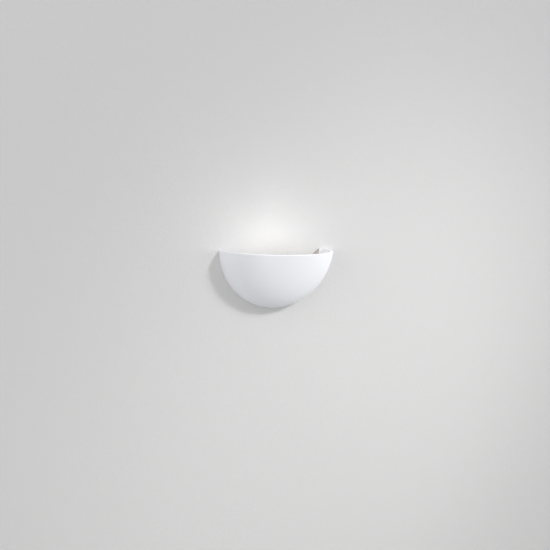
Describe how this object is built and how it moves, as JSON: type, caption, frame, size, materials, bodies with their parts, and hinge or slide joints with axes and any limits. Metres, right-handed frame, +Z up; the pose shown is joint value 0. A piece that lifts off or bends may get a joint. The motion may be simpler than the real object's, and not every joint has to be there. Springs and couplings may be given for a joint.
{
  "type": "uplighter wall sconce",
  "caption": "White quarter-ball plaster wall uplighter, open at the top, over a steel bracket that carries a double-ended halogen lamp, its holders and a reflector.",
  "frame": {"origin": "middle of the line between the two wall slots, on the wall face of the bracket", "axes": "+X to the right along the wall, +Y into the wall, +Z up; the bowl reaches out along -Y"},
  "size_m": [0.3, 0.1485, 0.15],
  "materials": {
    "plaster": "matt white",
    "galvanised": "dull zinc coat",
    "zinc_steel": "bright zinc plate",
    "reflector_sheet": "anodised satin",
    "steatite": "unglazed ceramic",
    "copper_alloy": "bright",
    "spring_steel": "bright wire",
    "quartz": "clear",
    "tungsten": "drawn wire",
    "nylon": "moulded",
    "dark_nylon": "moulded",
    "glass_sleeve": "braided glass sleeve",
    "earth_sleeve": "green and yellow insulation"
  },
  "bodies": {
    "fitting": {"bowl_shell": "plaster", "wall_bracket": "galvanised", "fixing_tab_left": "galvanised", "fixing_tab_right": "galvanised", "bracket_bushes": "zinc_steel", "lamp_carrier": "galvanised", "carrier_screws": "zinc_steel", "reflector": "reflector_sheet", "reflector_rivets": "zinc_steel", "lampholder_left": "steatite", "lampholder_right": "steatite", "holder_bolts": "zinc_steel", "holder_nuts": "zinc_steel", "contact_spring_left": "spring_steel", "contact_spring_right": "spring_steel", "terminal_block": "nylon", "terminal_cages": "copper_alloy", "terminal_screws": "zinc_steel", "block_screws": "zinc_steel", "lead_left": "glass_sleeve", "lead_right": "glass_sleeve", "lead_ferrules": "zinc_steel", "earth_screw": "zinc_steel", "earth_washer": "zinc_steel", "earth_tag": "zinc_steel", "earth_lead": "earth_sleeve", "cable_bush": "dark_nylon"},
    "lamp": {"lamp_tube": "quartz", "lamp_caps": "steatite", "lamp_buttons": "copper_alloy", "lamp_filament": "tungsten", "filament_supports": "tungsten"},
    "left_plunger": {"contact_left": "copper_alloy"},
    "right_plunger": {"contact_right": "copper_alloy"},
    "left_feed": {"thumb_washer_left": "nylon"},
    "right_feed": {"thumb_washer_right": "nylon"},
    "left_screw": {"thumb_screw_left": "zinc_steel"},
    "right_screw": {"thumb_screw_right": "zinc_steel"}
  },
  "joints": [
    {"name": "lamp_push", "type": "slide", "parent": "fitting", "child": "lamp", "axis": [1, 0, 0], "range_m": [-0.0015, 0.0015], "stiffness_N_per_m": 1200},
    {"name": "left_contact_push", "type": "slide", "parent": "fitting", "child": "left_plunger", "axis": [1, 0, 0], "range_m": [-0.0015, 0.0015]},
    {"name": "right_contact_push", "type": "slide", "parent": "fitting", "child": "right_plunger", "axis": [1, 0, 0], "range_m": [-0.0015, 0.0015]},
    {"name": "left_screw_feed", "type": "slide", "parent": "fitting", "child": "left_feed", "axis": [0, -1, 0], "range_m": [0, 0.0048]},
    {"name": "right_screw_feed", "type": "slide", "parent": "fitting", "child": "right_feed", "axis": [0, -1, 0], "range_m": [0, 0.0048]},
    {"name": "left_screw_turn", "type": "hinge", "parent": "left_feed", "child": "left_screw", "pos_m": [-0.11399, -0.02, 0.01], "axis": [0, -1, 0], "range_deg": [0, 2160]},
    {"name": "right_screw_turn", "type": "hinge", "parent": "right_feed", "child": "right_screw", "pos_m": [0.11399, -0.02, 0.01], "axis": [0, -1, 0], "range_deg": [0, 2160]}
  ],
  "couplings": [
    {"joint": "left_contact_push", "follows": "lamp_push", "ratio": 1},
    {"joint": "right_contact_push", "follows": "lamp_push", "ratio": 1},
    {"joint": "left_screw_turn", "follows": "left_screw_feed", "rad_per_m": 7854},
    {"joint": "right_screw_turn", "follows": "right_screw_feed", "rad_per_m": 7854}
  ]
}
